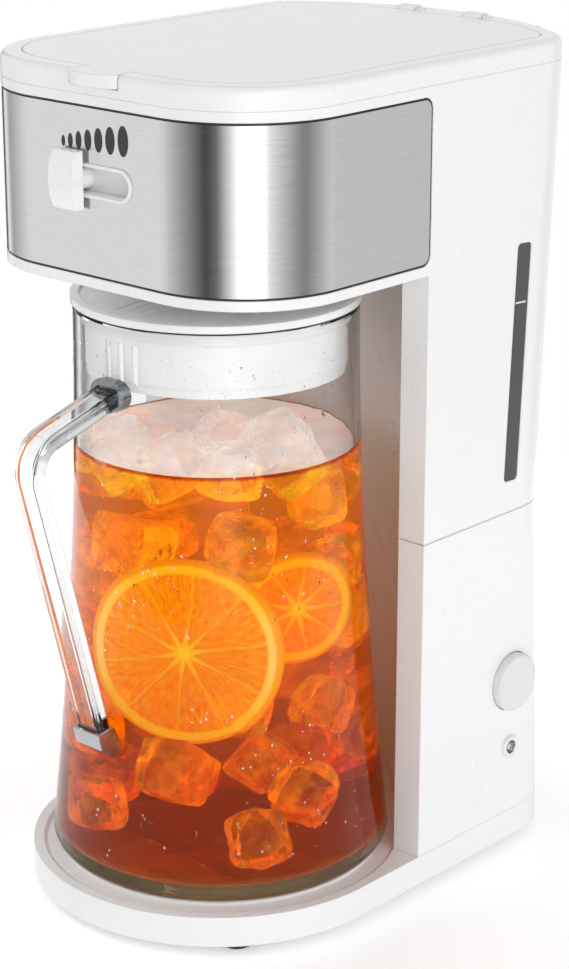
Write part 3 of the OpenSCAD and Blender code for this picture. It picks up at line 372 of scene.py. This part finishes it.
def add_piece(name, bm, material, body):
    me = bpy.data.meshes.new(name)
    bm.to_mesh(me)
    bm.free()
    for p in me.polygons:
        p.use_smooth = True
    me.materials.append(material)
    o = bpy.data.objects.new(name, me)
    bpy.context.scene.collection.objects.link(o)
    if body:
        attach(o, body)
    return o


def skin(bm, rings, steps):
    """Joins each ring to the next; a ring of one point closes the form there."""
    for a, b in zip(rings, rings[1:]):
        for i in range(steps):
            j = (i + 1) % steps
            if len(a) == 1:
                bm.faces.new((a[0], b[i], b[j]))
            elif len(b) == 1:
                bm.faces.new((a[i], b[0], a[j]))
            else:
                bm.faces.new((a[i], b[i], b[j], a[j]))
    bmesh.ops.recalc_face_normals(bm, faces=bm.faces)


def lathe(profile, steps=144):
    """A closed turned solid about the pitcher's axis from (radius, height) points; end points lie on the axis."""
    bm = bmesh.new()
    turns = [2 * math.pi * i / steps for i in range(steps)]
    rings = [[bm.verts.new(at(r * math.cos(a), r * math.sin(a), z)) for a in (turns if r else turns[:1])]
             for r, z in profile]
    skin(bm, rings, steps)
    return bm


# ---------------------------------------------------------------- tea

TEA_FLOOR = DECK + GLASS_FLOOR
# The tea wets the glass: its skin lies just inside the wall, so no film of air shows between them
WET = 0.12
# Radius of the tea's rounded foot, and steps up its side
TEA_FOOT_R, TEA_STEPS = 8, 24
# What the tea soaks up on the way, per metre, and the share of soft light that gets in
SOAK_COLOUR, SOAK_DENSITY, TEA_SHADE = (0.9925, 0.92, 0.0), 200.0, (0.62, 0.64, 0.66)
# Colour and glow of the pale painted sheen on the tea's top face
PAINTED_SHEEN_COLOUR, PAINTED_SHEEN_GLOW = (0.84, 0.82, 0.80), (1.0, 0.98, 0.96)
# Colour and glow of the painted dark band of shade at the tea's top edge, where it meets the glass
BAND_SHADE_COLOUR, BAND_SHADE_GLOW = (0.45, 0.10, 0.02), (0.05, 0.005, 0.0)
# Tea colour by height: its own amber with painted light and shade, paler at the top and deeper at the foot
TEA_TINT_AND_PAINTED_SHADE = [(0.0, (0.74, 0.28, 0.05)), (0.25, (0.82, 0.38, 0.08)),
               (0.55, (0.96, 0.72, 0.32)), (1.0, (1.0, 0.93, 0.70))]
# Painted glow of the tea by height, strongest at the top
TEA_PAINTED_GLOW = [(0.0, (0.30, 0.03, 0.0)), (0.3, (0.55, 0.075, 0.001)),
            (0.65, (0.95, 0.32, 0.008)), (1.0, (1.0, 0.50, 0.03))]


def by_height(m, stops, wobble=0.03):
    """Colours by height in the tea, with a little drift."""
    h = m.spread(m.xyz()[2], 0.0, 1.0, DECK * MM, TEA_Z * MM)
    drift = m.spread(m.noise(30, 3), -wobble, wobble)
    return m.ramp(m.math("ADD", h, drift), stops)


def tea_material():
    """Amber tea with painted light and shade: paler towards the top and deeper towards the foot, with a painted glow
    all through, a pale painted sheen on top and a painted dark band at the glass.
    """
    m = Mat("tea_amber")
    r, z = m.about_axis()
    inside = m.spread(r, 1.0, 0.0, (inner_r(TEA_Z) - 0.5) * MM, (inner_r(TEA_Z) - 0.2) * MM)
    # Painted sheen on the tea's top face: pale, glowing and, in patches, less clear
    painted_sheen = m.math("MULTIPLY", inside, m.spread(z, 0.0, 1.0, (TEA_Z - 0.4) * MM, (TEA_Z - 0.1) * MM))
    # Painted shade: a dark band along the top millimetre of the tea, beside the glass
    band_shade = m.math("SUBTRACT", m.spread(z, 0.0, 1.0, (TEA_Z - 1.0) * MM, (TEA_Z + 0.2) * MM), painted_sheen)
    thick = m.math("MULTIPLY", painted_sheen, m.noise(55, 3))
    # Painted light: the whole tea glows a little, more at the top
    m.wire(Base_Color=m.lay(m.lay(by_height(m, TEA_TINT_AND_PAINTED_SHADE), PAINTED_SHEEN_COLOUR, painted_sheen), BAND_SHADE_COLOUR, band_shade),
           Roughness=m.spread(m.noise(30, 2), 0.0, 0.02),
           Transmission_Weight=m.spread(thick, 1.0, 0.30, 0.0, 0.6),
           Emission_Color=m.lay(m.lay(by_height(m, TEA_PAINTED_GLOW), PAINTED_SHEEN_GLOW, painted_sheen), BAND_SHADE_GLOW, band_shade),
           Emission_Strength=m.spread(painted_sheen, 0.20, 0.22, 0.0, 1.0))
    m.put(IOR=1.33, Specular_Tint=(0.08, 0.08, 0.08))
    m.bump(m.noise(45, 3), 0.10, 0.0010)
    m.let_light_through(TEA_SHADE)
    soak = m.new("VolumeAbsorption")
    soak.inputs["Color"].default_value = (*SOAK_COLOUR, 1.0)
    soak.inputs["Density"].default_value = SOAK_DENSITY
    m.link(soak.outputs["Volume"], m.out.inputs["Volume"])
    return m.m


def tea_profile():
    """Up the inside of the glass from its floor, ending in the meniscus and the flat top."""
    low, top_r = TEA_FLOOR + TEA_FOOT_R, inner_r(TEA_Z)
    side = [(inner_r(z) + WET, z) for z in [low + i * (TEA_Z - low) / TEA_STEPS for i in range(TEA_STEPS + 1)]]
    foot = [(side[0][0] - TEA_FOOT_R + TEA_FOOT_R * math.sin(a), low - WET - TEA_FOOT_R * math.cos(a))
            for a in [i * math.pi / 12 for i in range(6)]]
    meniscus = [(top_r + WET, TEA_Z + 1.3), (top_r - 0.9, TEA_Z + 0.5), (top_r - 2.5, TEA_Z)]
    return [(0, TEA_FLOOR - WET)] + foot + side + meniscus + [(0, TEA_Z)]


add_piece("tea", lathe(tea_profile()), tea_material(), "pitcher")


# ---------------------------------------------------------------- orange slices

# Depths from the outside of the fruit, in metres: the pith's inner edge, and the rind's
PITH, RIND = (0.0064, 0.0052), (0.0027, 0.0017)
PITH_COLOUR, RIND_COLOUR = (1.0, 0.70, 0.46), (0.95, 0.36, 0.02)
WALL_COLOUR, HEART_COLOUR = (1.0, 0.76, 0.48), (1.0, 0.93, 0.86)
FLESH = [(0.28, (0.78, 0.16, 0.006)), (0.5, (0.95, 0.30, 0.015)), (0.72, (1.0, 0.52, 0.10))]


def slice_material(name, r_mm, turns):
    """Rind, pith, membranes and juice sacs of a cut orange, from the slice's own coordinates, with a painted glow.
    """
    m = Mat(name)
    x, y, _ = m.xyz()
    r = m.length(x, y)
    ang = m.math("DIVIDE", m.math("ARCTAN2", y, x), 2 * math.pi)
    wob = m.spread(m.noise(55, 2), -0.05, 0.05)
    seg = m.math("FRACT", m.math("ADD", m.math("MULTIPLY", ang, turns), m.math("ADD", wob, 20.0)))
    side = m.math("MULTIPLY", m.math("MINIMUM", seg, m.math("SUBTRACT", 1.0, seg)), 2 * math.pi / turns)
    gap = m.math("MULTIPLY", side, r)
    flare = m.spread(r, 0.0009, 0.0, 0.002, 0.011)
    wall = m.spread(m.math("SUBTRACT", gap, flare), 1.0, 0.0, 0.0002, 0.0008)
    edge = r_mm * MM
    pith, rind = (m.spread(r, 0.0, 1.0, edge - a, edge - b) for a, b in (PITH, RIND))
    heart = m.spread(r, 1.0, 0.0, 0.0018, 0.0032)
    comb = m.new("CombineXYZ")
    m.link(m.math("MULTIPLY", ang, 60.0), comb.inputs["X"])
    m.link(m.math("MULTIPLY", r, 100.0), comb.inputs["Y"])
    sacs = m.noise(2.2, 3, 0.6, vector=comb.outputs["Vector"])
    col = m.lay(m.ramp(sacs, FLESH), WALL_COLOUR, m.math("MULTIPLY", wall, m.spread(r, 0.95, 0.45, 0.002, 0.016)))
    for colour, fac in ((HEART_COLOUR, heart), (PITH_COLOUR, pith), (RIND_COLOUR, rind)):
        col = m.lay(col, colour, fac)
    # Painted light: the slices glow a little in their own colours
    m.wire(Base_Color=col, Emission_Color=col, Roughness=m.spread(sacs, 0.22, 0.42))
    m.put(Emission_Strength=0.30, IOR=1.38)
    m.bump(m.math("SUBTRACT", sacs, m.math("MULTIPLY", wall, 0.6)), 0.5, 0.0009)
    return m.m


# Points of a slice: along the rim of one segment, out from its middle, and round its rind
SEGMENT_STEPS, FACE_STEPS, RIND_STEPS = 14, 14, 8
RIND_R, PUFF, SAC_LUMPS, RIND_LUMPS = 2.0, 0.55, 0.25, 0.35


def orange_slice(name, azimuth, lean, centre, r_mm, thick, turns, spin):
    """A slice whose segments are puffed on the face that shows, with a rounded rind and a flat back."""
    bm = bmesh.new()
    sides = turns * SEGMENT_STEPS
    angles = [2 * math.pi * i / sides for i in range(sides)]
    rings = []
    for f in [k / FACE_STEPS for k in range(FACE_STEPS - 1)]:
        ring = []
        for a in (angles if f else angles[:1]):
            seg = (a * turns / (2 * math.pi)) % 1.0
            puff = math.sin(math.pi * seg) ** 0.5 * min(1.0, f * 3) * min(1.0, (0.9 - f) * 12 if f < 0.9 else 0.0)
            lift = thick / 2 + PUFF * puff + SAC_LUMPS * noise.noise(Vector((f * 9, a * 7, turns)))
            ring.append(bm.verts.new((f * r_mm * MM * math.cos(a), f * r_mm * MM * math.sin(a), lift * MM)))
        rings.append(ring)
    for k in range(RIND_STEPS + 1):
        t = math.pi / 2 - math.pi * k / RIND_STEPS
        ring = []
        for a in angles:
            rr = r_mm - RIND_R + RIND_R * math.cos(t)
            rr += RIND_LUMPS * noise.noise(Vector((3 * math.cos(a), 3 * math.sin(a), 7)))
            ring.append(bm.verts.new((rr * MM * math.cos(a), rr * MM * math.sin(a), thick / 2 * math.sin(t) * MM)))
        rings.append(ring)
    rings.append([bm.verts.new((0, 0, -thick / 2 * MM))])
    skin(bm, rings, sides)
    o = add_piece(name, bm, slice_material(name + "_fruit", r_mm, turns), None)
    az, tilt = math.radians(azimuth), math.radians(lean)
    n = Vector((math.sin(az) * math.cos(tilt), -math.cos(az) * math.cos(tilt), math.sin(tilt)))
    side = Vector((math.cos(az), math.sin(az), 0))
    facing = Matrix((side, n.cross(side), n)).transposed().to_4x4()
    o.matrix_world = Matrix.Translation(at(*centre)) @ facing @ Matrix.Rotation(math.radians(spin), 4, "Z")
    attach(o, "pitcher")


def on_wall(azimuth, distance, z):
    """A point by azimuth from the front, distance from the axis, and height."""
    a = math.radians(azimuth)
    return math.sin(a) * distance, -math.cos(a) * distance, z


orange_slice("orange_front", 27.5, 4.0, on_wall(27.5, 45.5, 125.0), 41.0, 7.0, 10, 12)
orange_slice("orange_side", 64.0, 3.0, on_wall(92.0, 38.0, 138.0), 25.0, 6.0, 9, 40)


# ---------------------------------------------------------------- ice

# Colour of the ice by its cloudiness, in the tea and clear of it, and its painted light: gold painted glints in the
# tea, a pale painted glow clear of it
WET_ICE = [(0.35, (1.0, 0.93, 0.80)), (0.7, (1.0, 0.80, 0.50))]
DRY_ICE = [(0.35, (0.97, 0.94, 0.92)), (0.7, (0.98, 0.96, 0.95))]
WET_ICE_PAINTED_GLINTS = [(0.45, (0.0, 0.0, 0.0)), (0.70, (1.0, 0.52, 0.07))]
DRY_ICE_PAINTED_GLOW = [(0.35, (0.12, 0.09, 0.08)), (0.7, (0.42, 0.37, 0.35))]


def ice_material():
    """Cloudy ice: gold where the tea covers it, pale where it stands clear, with painted glints and a painted glow.
    """
    m = Mat("ice_clear")
    above = m.spread(m.xyz()[2], 0.0, 1.0, (TEA_Z - 1) * MM, (TEA_Z + 3) * MM)
    cloud = m.noise(110, 4, 0.65)

    def either(wet_stops, dry_stops):
        n = m.new("Mix", data_type="RGBA")
        m.link(above, n.inputs["Factor"])
        m.link(m.ramp(cloud, wet_stops), n.inputs["A"])
        m.link(m.ramp(cloud, dry_stops), n.inputs["B"])
        return n.outputs["Result"]

    # Painted light: gold painted glints in the cloudy ice under the tea, a pale painted glow in the ice above it
    m.wire(Base_Color=either(WET_ICE, DRY_ICE), Emission_Color=either(WET_ICE_PAINTED_GLINTS, DRY_ICE_PAINTED_GLOW),
           Transmission_Weight=m.spread(above, 0.96, 0.80, 0.0, 1.0),
           Roughness=m.spread(cloud, 0.0, 0.16, 0.45, 0.75))
    m.put(IOR=1.24, Emission_Strength=0.30, Specular_Tint=(0.8, 0.8, 0.8))
    chips = m.new("TexVoronoi", feature="F1")
    chips.inputs["Scale"].default_value = 95.0
    m.link(m.coords(), chips.inputs["Vector"])
    m.bump(m.math("ADD", chips.outputs["Distance"], m.math("MULTIPLY", m.noise(160, 3), 0.5)), 0.55, 0.0030)
    m.let_light_through()
    return m.m


# Cuts along a cube's edge, and the power that rounds it: a higher one is squarer
CUBE_CUTS, SQUARENESS = 5, 6


def add_ice(bm, centre, size, turn, seed):
    """One half-melted cube: a rounded box with dents and drift."""
    part = bmesh.new()
    bmesh.ops.create_cube(part, size=2.0)
    bmesh.ops.subdivide_edges(part, edges=part.edges, cuts=CUBE_CUTS, use_grid_fill=True)
    rot = Matrix.Rotation(turn[0], 3, "X") @ Matrix.Rotation(turn[1], 3, "Y") @ Matrix.Rotation(turn[2], 3, "Z")
    half = Vector(size) / 2
    for v in part.verts:
        p = v.co / sum(abs(c) ** SQUARENESS for c in v.co) ** (1 / SQUARENESS)
        drift = (1 + 0.10 * noise.noise(p * 1.3 + Vector((seed * 7.1, seed, 0)))
                 + 0.05 * noise.noise(p * 3.1 + Vector((0, seed * 3.3, 5))))
        v.co = at(*(Vector(centre) + rot @ (p * half * drift)))
    me = bpy.data.meshes.new("lump")
    part.to_mesh(me)
    part.free()
    bm.from_mesh(me)
    bpy.data.meshes.remove(me)


# Lumps near the wall: azimuth, distance from the axis, height, size
LUMPS = [
    (-11, 40, 166, 29), (-22, 42, 189, 25), (56, 41, 171, 27), (105, 43, 187, 24), (108, 44, 166, 24),
    (28, 34, 184, 27), (84, 42, 209, 29), (50, 45, 205, 24), (18, 45, 206, 25), (-14, 45, 206, 24),
    (56, 16, 207, 25), (118, 46, 204, 22), (-44, 46, 204, 21), (150, 36, 186, 25), (-80, 40, 188, 25),
    (-120, 40, 186, 24), (180, 44, 188, 25), (-60, 14, 190, 24), (51, 46, 100, 26), (101, 48, 93, 25),
    (22, 50, 71, 29), (84, 52, 57, 24), (-39, 49, 78, 25), (-8, 52, 103, 22), (-48, 46, 118, 26),
    (-42, 44, 148, 24), (128, 46, 128, 26), (122, 44, 152, 24), (60, 54, 41, 22), (-20, 55, 46, 23)
]
# Tries and limit for the loose lumps between them, and the share of a lump's size kept free round it
ICE_TRIES, ICE_MOST, ICE_REACH, ICE_ROOM = 2500, 46, 0.60, 0.78
rng = random.Random(7)
ice = bmesh.new()
placed = []


def try_ice(c, size):
    """Adds a lump unless it would run into another one."""
    reach = max(size) * ICE_REACH
    if any((c - p).length < (reach + q) * ICE_ROOM for p, q in placed):
        return
    placed.append((c, reach))
    add_ice(ice, c, size, [rng.uniform(0, 3.1) for _ in range(3)], len(placed))


for az, far, z, big in LUMPS:
    try_ice(Vector(on_wall(az, far, z)), [big * rng.uniform(0.86, 1.06) for _ in range(3)])
for _ in range(ICE_TRIES):
    size = [rng.uniform(18, 25) for _ in range(3)]
    z = rng.uniform(45, TEA_Z - 12)
    az, far = rng.uniform(-180, 180), (inner_r(z) - max(size) * 0.62 - 2) * math.sqrt(rng.uniform(0.1, 1.0))
    near_fruit = -30 < az < 125 and 72 < z < 176
    if not near_fruit and len(placed) < ICE_MOST:
        try_ice(Vector(on_wall(az, far, z)), size)
bmesh.ops.recalc_face_normals(ice, faces=ice.faces)
add_piece("ice_cubes", ice, ice_material(), "pitcher")


# ---------------------------------------------------------------- drops on the outside of the glass

def drops_material():
    m = Mat("water_drops")
    m.wire(Base_Color=m.ramp(m.noise(300, 2), [(0.3, (0.97, 0.98, 1.0)), (0.7, (1.0, 1.0, 1.0))]),
           Roughness=m.spread(m.noise(400, 2), 0.0, 0.04))
    m.put(IOR=1.33, Transmission_Weight=1.0)
    m.let_light_through()
    return m.m


# Tries; how much of the glass stays dry; sides of a drop; its height by its radius; how deep its foot is sunk
DROP_TRIES, DRY_BELOW, DROP_SIDES, DROP_RISE, DROP_SUNK = 5200, 0.04, 8, 0.5, 0.02


def add_drop(bm, a, z, r, tall):
    """One drop on the glass at an angle and height: a low dome on the slope of the wall, longer down than wide."""
    slope = (glass_r(z - 1) - glass_r(z + 1)) / 2
    n = Vector((math.cos(a), math.sin(a), slope)).normalized()
    t = Vector((-math.sin(a), math.cos(a), 0))
    u = n.cross(t)
    base = Vector((glass_r(z) * math.cos(a), glass_r(z) * math.sin(a), z)) - n * DROP_SUNK
    rings = []
    for lat in (0, 45):
        cl, sl = math.cos(math.radians(lat)), math.sin(math.radians(lat))
        rings.append([bm.verts.new(at(*(base + t * (r * cl * math.cos(b)) + u * (tall * cl * math.sin(b))
                                        + n * (DROP_RISE * r * sl))))
                      for b in [i * 2 * math.pi / DROP_SIDES for i in range(DROP_SIDES)]])
    tip = bm.verts.new(at(*(base + n * (DROP_RISE * r))))
    for i in range(DROP_SIDES):
        j = (i + 1) % DROP_SIDES
        bm.faces.new((rings[0][i], rings[0][j], rings[1][j], rings[1][i]))
        bm.faces.new((rings[1][i], rings[1][j], tip))
    bm.faces.new(rings[0][::-1])


drops = bmesh.new()
rng = random.Random(21)
for _ in range(DROP_TRIES):
    z = DECK + 12 + (RIM - DECK - 22) * rng.random()
    a = rng.uniform(0, 2 * math.pi)
    r = 0.14 + 0.42 * rng.random() ** 4
    if noise.noise(Vector((3 * math.cos(a), 3 * math.sin(a), z * 0.03))) >= DRY_BELOW:
        add_drop(drops, a, z, r, r * rng.uniform(1.0, 1.6))
add_piece("water_drops", drops, drops_material(), "pitcher")


# ---------------------------------------------------------------- floor, sky and lamps

FLOOR_R = 0.62
# The floor's glow grows from the first to the second strength between these distances from the middle, in metres
FLOOR_GLOW, FLOOR_FAR = (0.30, 0.62), (0.20, 0.6)


def floor_material():
    """Pale board that grows a little brighter towards its edge."""
    m = Mat("floor_pale")
    c = m.new("TexCoord")
    far = m.new("VectorMath", operation="LENGTH")
    m.link(c.outputs["Object"], far.inputs[0])
    m.wire(Base_Color=m.ramp(m.noise(3, 3), [(0.3, (0.90, 0.90, 0.90)), (0.7, (0.92, 0.92, 0.92))]),
           Roughness=m.spread(m.noise(8, 2), 0.45, 0.55),
           Emission_Strength=m.spread(far.outputs["Value"], *FLOOR_GLOW, *FLOOR_FAR))
    m.put(Emission_Color=(1.0, 1.0, 1.0))
    return m.m


bm = bmesh.new()
bmesh.ops.create_circle(bm, cap_ends=True, segments=96, radius=FLOOR_R)
floor = add_piece("floor", bm, floor_material(), None)


class Sky(Nodes):
    """The studio round the object: soft boxes and grey cards by azimuth, one even white overhead."""
    # Brightness by azimuth in degrees from the front (-Y) towards +X
    CARDS = [(-180, 1.0), (-126, 1.0), (-121, 0.06), (-112, 0.06), (-106, 1.2), (-92, 0.45), (-78, 0.65),
             (-57, 0.98), (-42, 0.98), (-35, 0.75), (-21, 0.48), (-7.5, 0.25), (5, 0.05), (17, 0.18),
             (29, 0.95), (38, 1.7), (50, 2.6), (57, 2.6), (64, 1.05), (76, 0.70), (89, 0.42), (102, 0.27),
             (116, 0.52), (131, 0.80), (146, 0.70), (158, 0.15), (168, 0.20), (180, 1.05)]
    # Brightness overhead, and the heights (sine of the elevation) between which the cards fade into it
    HIGH, FADE = (0.57, 0.57, 0.57), (0.30, 0.60)

    def __init__(self):
        world = bpy.data.worlds.new("studio")
        world.use_nodes = True
        self.t = world.node_tree
        bpy.context.scene.world = world

    def build(self):
        x, y, z = self.xyz("Generated")
        arc = self.math("ARCTAN2", x, self.math("MULTIPLY", y, -1.0))
        turn = self.spread(arc, 0.0, 1.0, -math.pi, math.pi)
        cards = self.ramp(turn, [((az + 180) / 360, (v, v, v)) for az, v in self.CARDS])
        studio = self.t.nodes["Background"]
        self.link(self.lay(cards, self.HIGH, self.spread(z, 0.0, 1.0, *self.FADE)), studio.inputs["Color"])
        plain = self.new("Background")
        plain.inputs["Color"].default_value = (1, 1, 1, 1)
        path = self.new("LightPath")
        both = self.new("MixShader")
        self.link(path.outputs["Is Camera Ray"], both.inputs["Fac"])
        self.link(studio.outputs["Background"], both.inputs[1])
        self.link(plain.outputs["Background"], both.inputs[2])
        self.link(both.outputs["Shader"], self.t.nodes["World Output"].inputs["Surface"])


Sky().build()


def lamp(name, place, aim, size, power):
    """A rectangular area lamp, in metres and watts."""
    data = bpy.data.lights.new(name, "AREA")
    data.shape = "RECTANGLE"
    data.size, data.size_y = size
    data.energy = power
    o = bpy.data.objects.new(name, data)
    o.location = place
    o.rotation_euler = (Vector(aim) - Vector(place)).to_track_quat("-Z", "Y").to_euler()
    bpy.context.scene.collection.objects.link(o)
    return o


lamp("key", (1.9, -0.5, 0.9), (0, 0, 0.18), (1.0, 1.2), 9)
lamp("top", (-0.6, -0.6, 2.0), (0, 0, 0.2), (1.4, 1.4), 4)
# The fill only lights matt surfaces: it isn't seen in the gloss or through the glass
fill = lamp("fill", (-1.2, -0.25, 0.62), (-0.05, -0.08, 0.02), (0.8, 0.5), 4)
fill.visible_glossy = False
fill.visible_transmission = False
